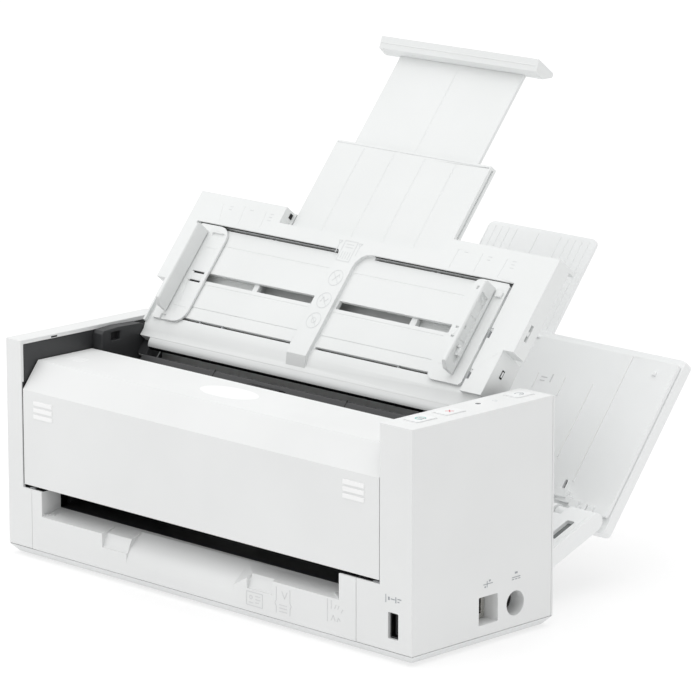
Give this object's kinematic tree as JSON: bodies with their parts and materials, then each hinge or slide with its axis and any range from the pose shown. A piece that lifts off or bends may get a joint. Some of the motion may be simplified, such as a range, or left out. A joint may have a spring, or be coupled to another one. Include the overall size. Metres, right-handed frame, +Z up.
{
  "type": "sheet fed document scanner",
  "caption": "Compact desktop scanner with a tilting input tray, sliding paper guides, telescoping supports, hinged front cover and fold-out rear stacker.",
  "frame": {"origin": "centre of the overall box in plan, on the surface the feet stand on", "axes": "+X to the machine's right side with the keys and ports, +Y from the front cover to the rear stacker, +Z up"},
  "size_m": [0.312, 0.2838, 0.2778],
  "materials": {
    "white_shell": "fine satin grain",
    "pale_base": "fine satin grain",
    "charcoal_plastic": "matte",
    "rubber": "matte",
    "steel": "plated",
    "natural_acetal": "satin",
    "scan_glass": "polished",
    "board_green": "solder mask"
  },
  "bodies": {
    "body": {"base_housing": "pale_base", "foot_front_left": "rubber", "foot_front_right": "rubber", "foot_rear_left": "rubber", "foot_rear_right": "rubber", "left_end_cover": "white_shell", "right_end_cover": "white_shell", "left_inner_liner": "charcoal_plastic", "right_inner_liner": "charcoal_plastic", "base_front_panel": "white_shell", "rear_cover": "white_shell", "chassis_frame": "charcoal_plastic", "lower_guide": "charcoal_plastic", "rear_scan_module": "charcoal_plastic", "rear_scan_glass": "scan_glass", "drive_motor": "steel", "drive_belt": "rubber", "main_board": "board_green", "panel_board": "board_green", "usb_host_port": "steel", "usb_device_port": "steel", "power_jack": "charcoal_plastic", "status_light": "scan_glass", "tray_pivot_block_left": "charcoal_plastic", "tray_pivot_block_right": "charcoal_plastic"},
    "cover": {"front_cover": "white_shell", "cover_inner_guide": "charcoal_plastic", "front_scan_module": "charcoal_plastic", "front_scan_glass": "scan_glass"},
    "separation_roller": {"separation_roller": "rubber"},
    "feed_idler": {"feed_idler": "natural_acetal"},
    "exit_idler": {"exit_idler": "natural_acetal"},
    "pick_roller": {"pick_roller": "rubber"},
    "feed_roller": {"feed_roller": "rubber"},
    "exit_roller": {"exit_roller": "rubber"},
    "rear_exit_roller": {"rear_exit_roller": "rubber"},
    "motor_pulley": {"motor_pulley": "steel"},
    "tray": {"input_tray": "white_shell", "tray_back_plate_left": "white_shell", "tray_back_plate_right": "white_shell"},
    "guide_pinion": {"guide_pinion": "natural_acetal"},
    "left_guide": {"left_guide": "white_shell"},
    "right_guide": {"right_guide": "white_shell"},
    "left_guide_wall": {"left_guide_wall": "white_shell"},
    "right_guide_wall": {"right_guide_wall": "white_shell"},
    "extension_1": {"extension_1": "white_shell"},
    "extension_2": {"extension_2": "white_shell", "end_cap": "white_shell"},
    "link": {"rear_link": "white_shell", "link_pin_left": "steel", "link_pin_right": "steel", "panel_pin_left": "steel", "panel_pin_right": "steel"},
    "panel": {"rear_panel": "white_shell", "rear_panel_face": "white_shell"},
    "stacker_extension": {"stacker_extension": "white_shell"},
    "scan_button": {"scan_button": "white_shell"},
    "cancel_button": {"cancel_button": "white_shell"},
    "power_button": {"power_button": "white_shell"}
  },
  "joints": [
    {"name": "cover_hinge", "type": "hinge", "parent": "body", "child": "cover", "pos_m": [0, -0.13831, 0.0455], "axis": [1, 0, 0], "range_deg": [0, 85]},
    {"name": "tray_hinge", "type": "hinge", "parent": "body", "child": "tray", "pos_m": [-0.0053, -0.05591, 0.10605], "axis": [1, 0, 0], "range_deg": [0, 50]},
    {"name": "left_guide_slide", "type": "slide", "parent": "tray", "child": "left_guide", "axis": [1, 0, 0], "range_m": [0, 0.08]},
    {"name": "right_guide_slide", "type": "slide", "parent": "tray", "child": "right_guide", "axis": [-1, 0, 0], "range_m": [0, 0.08]},
    {"name": "guide_pinion_spin", "type": "hinge", "parent": "tray", "child": "guide_pinion", "pos_m": [-0.0118, -0.03182, 0.14636], "axis": [0, -0.7737, 0.6335], "range_deg": [-1150, 0]},
    {"name": "left_guide_wall_fold", "type": "hinge", "parent": "left_guide", "child": "left_guide_wall", "pos_m": [-0.1224, -0.03716, 0.15106], "axis": [0, 0.6335, 0.7737], "range_deg": [0, 90]},
    {"name": "right_guide_wall_fold", "type": "hinge", "parent": "right_guide", "child": "right_guide_wall", "pos_m": [0.0988, -0.03716, 0.15106], "axis": [0, -0.6335, -0.7737], "range_deg": [0, 90]},
    {"name": "extension_1_slide", "type": "slide", "parent": "tray", "child": "extension_1", "axis": [0, -0.6335, -0.7737], "range_m": [0, 0.047]},
    {"name": "extension_2_slide", "type": "slide", "parent": "extension_1", "child": "extension_2", "axis": [0, -0.6335, -0.7737], "range_m": [0, 0.058]},
    {"name": "link_hinge", "type": "hinge", "parent": "body", "child": "link", "pos_m": [-0.0053, -0.0429, 0.0132], "axis": [1, 0, 0], "range_deg": [0, 10]},
    {"name": "panel_hinge", "type": "hinge", "parent": "link", "child": "panel", "pos_m": [-0.0053, 0.0278, 0.03957], "axis": [1, 0, 0], "range_deg": [-25, 18]},
    {"name": "stacker_extension_slide", "type": "slide", "parent": "panel", "child": "stacker_extension", "axis": [0, -0.6225, -0.7826], "range_m": [0, 0.062]},
    {"name": "pick_roller_spin", "type": "hinge", "parent": "body", "child": "pick_roller", "pos_m": [-0.0118, -0.06569, 0.08937], "axis": [1, 0, 0], "continuous": true},
    {"name": "feed_roller_spin", "type": "hinge", "parent": "body", "child": "feed_roller", "pos_m": [-0.0118, -0.0835, 0.07552], "axis": [1, 0, 0], "continuous": true},
    {"name": "exit_roller_spin", "type": "hinge", "parent": "body", "child": "exit_roller", "pos_m": [-0.0118, -0.1025, 0.05231], "axis": [1, 0, 0], "continuous": true},
    {"name": "rear_exit_roller_spin", "type": "hinge", "parent": "body", "child": "rear_exit_roller", "pos_m": [-0.0118, -0.0489, 0.0345], "axis": [1, 0, 0], "continuous": true},
    {"name": "motor_pulley_spin", "type": "hinge", "parent": "body", "child": "motor_pulley", "pos_m": [-0.0118, -0.05291, 0.0635], "axis": [1, 0, 0], "continuous": true},
    {"name": "separation_roller_spin", "type": "hinge", "parent": "cover", "child": "separation_roller", "pos_m": [-0.0118, -0.08415, 0.10061], "axis": [1, 0, 0], "continuous": true},
    {"name": "feed_idler_spin", "type": "hinge", "parent": "cover", "child": "feed_idler", "pos_m": [-0.0118, -0.09309, 0.08338], "axis": [1, 0, 0], "continuous": true},
    {"name": "exit_idler_spin", "type": "hinge", "parent": "cover", "child": "exit_idler", "pos_m": [-0.0118, -0.1121, 0.06016], "axis": [1, 0, 0], "continuous": true},
    {"name": "scan_button_press", "type": "slide", "parent": "body", "child": "scan_button", "axis": [0, 0, -1], "range_m": [0, 0.0008], "stiffness_N_per_m": 400, "springref_m": -0.001},
    {"name": "cancel_button_press", "type": "slide", "parent": "body", "child": "cancel_button", "axis": [0, 0, -1], "range_m": [0, 0.0008], "stiffness_N_per_m": 400, "springref_m": -0.001},
    {"name": "power_button_press", "type": "slide", "parent": "body", "child": "power_button", "axis": [0, 0, -1], "range_m": [0, 0.0008], "stiffness_N_per_m": 400, "springref_m": -0.001}
  ],
  "couplings": [
    {"joint": "right_guide_slide", "follows": "left_guide_slide", "ratio": 1},
    {"joint": "guide_pinion_spin", "follows": "left_guide_slide", "rad_per_m": -250},
    {"joint": "pick_roller_spin", "follows": "feed_roller_spin", "ratio": 1},
    {"joint": "exit_roller_spin", "follows": "feed_roller_spin", "ratio": 1},
    {"joint": "rear_exit_roller_spin", "follows": "feed_roller_spin", "ratio": 1},
    {"joint": "motor_pulley_spin", "follows": "feed_roller_spin", "ratio": 1.5},
    {"joint": "feed_idler_spin", "follows": "feed_roller_spin", "ratio": -1.4},
    {"joint": "exit_idler_spin", "follows": "feed_roller_spin", "ratio": -1.4}
  ]
}
